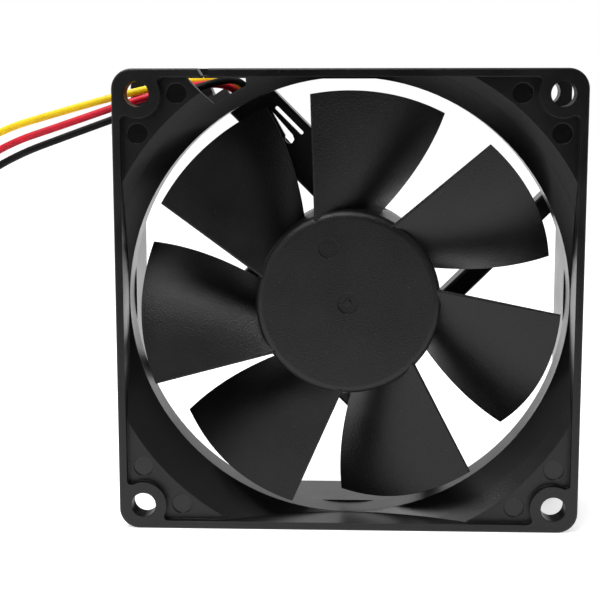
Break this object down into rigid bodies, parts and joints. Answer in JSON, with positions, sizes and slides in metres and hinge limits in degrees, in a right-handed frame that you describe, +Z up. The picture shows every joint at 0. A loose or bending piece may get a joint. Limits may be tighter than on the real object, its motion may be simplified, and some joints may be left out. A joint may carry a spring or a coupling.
{
  "type": "case fan",
  "caption": "Square axial case fan: open-flange moulded frame, bladed impeller on ball bearings round a brushless motor, and a coloured lead to a small connector.",
  "frame": {"origin": "centre of the square frame's 80 x 25 x 80 mm envelope, on the rotor's axis", "axes": "+Y along the rotor's axis in the direction of the air flow (intake face at -Y, exhaust face and struts at +Y), +Z up, +X to the right as seen from the intake side"},
  "size_m": [0.1606, 0.025, 0.08],
  "materials": {
    "frame_plastic": "moulded, fine spark-eroded grain",
    "impeller_plastic": "moulded, matte grain",
    "bearing_steel": "ground and polished",
    "pressed_steel": "drawn sheet, zinc plated",
    "magnet_ferrite": "bonded ferrite",
    "brass": "turned",
    "core_steel": "stacked laminations",
    "bobbin_nylon": "natural nylon",
    "enamelled_copper": "wound enamelled wire",
    "board_laminate": "glass-epoxy with solder mask",
    "chip_epoxy": "moulded epoxy",
    "ceramic_chip": "fired ceramic with tinned ends",
    "solder": "bright solder",
    "label_film": "blank satin film",
    "lead_yellow_pvc": "extruded vinyl, satin",
    "lead_red_pvc": "extruded vinyl, satin",
    "lead_black_pvc": "extruded vinyl, satin",
    "connector_nylon": "natural nylon",
    "tinned_brass": "stamped and tinned",
    "tie_nylon": "black nylon"
  },
  "bodies": {
    "stator": {"frame": "frame_plastic", "bearing_tube": "brass", "stator_core": "core_steel", "front_insulator": "bobbin_nylon", "rear_insulator": "bobbin_nylon", "circuit_board": "board_laminate", "winding_pins": "tinned_brass", "hall_sensor": "chip_epoxy", "driver_chip": "chip_epoxy", "capacitors": "ceramic_chip", "resistors": "chip_epoxy", "diode": "chip_epoxy", "solder_joints": "solder", "rear_label": "label_film", "lead_coil": "lead_black_pvc", "lead_tie": "tie_nylon", "connector_housing": "connector_nylon", "crimp_terminals": "tinned_brass", "lead_yellow": "lead_yellow_pvc", "lead_red": "lead_red_pvc", "lead_black": "lead_black_pvc", "winding_1": "enamelled_copper", "winding_2": "enamelled_copper", "winding_3": "enamelled_copper", "winding_4": "enamelled_copper", "front_outer_ring": "bearing_steel", "front_shields": "pressed_steel", "rear_outer_ring": "bearing_steel", "rear_shields": "pressed_steel"},
    "rotor": {"impeller": "impeller_plastic", "rotor_yoke": "pressed_steel", "ring_magnet": "magnet_ferrite", "shaft": "bearing_steel", "shaft_bush": "brass", "preload_washer": "pressed_steel", "retaining_clip": "pressed_steel", "spacer_washer": "bobbin_nylon", "front_inner_ring": "bearing_steel", "rear_inner_ring": "bearing_steel"},
    "front_ball_set": {"front_balls": "bearing_steel", "front_cage": "pressed_steel"},
    "rear_ball_set": {"rear_balls": "bearing_steel", "rear_cage": "pressed_steel"}
  },
  "joints": [
    {"name": "rotor_spin", "type": "hinge", "parent": "stator", "child": "rotor", "pos_m": [0, 0, 0], "axis": [0, -1, 0], "continuous": true},
    {"name": "front_cage_spin", "type": "hinge", "parent": "stator", "child": "front_ball_set", "pos_m": [0, -0.0035, 0], "axis": [0, -1, 0], "continuous": true},
    {"name": "rear_cage_spin", "type": "hinge", "parent": "stator", "child": "rear_ball_set", "pos_m": [0, 0.006, 0], "axis": [0, -1, 0], "continuous": true}
  ],
  "couplings": [
    {"joint": "front_cage_spin", "follows": "rotor_spin", "ratio": 0.38},
    {"joint": "rear_cage_spin", "follows": "rotor_spin", "ratio": 0.38}
  ]
}
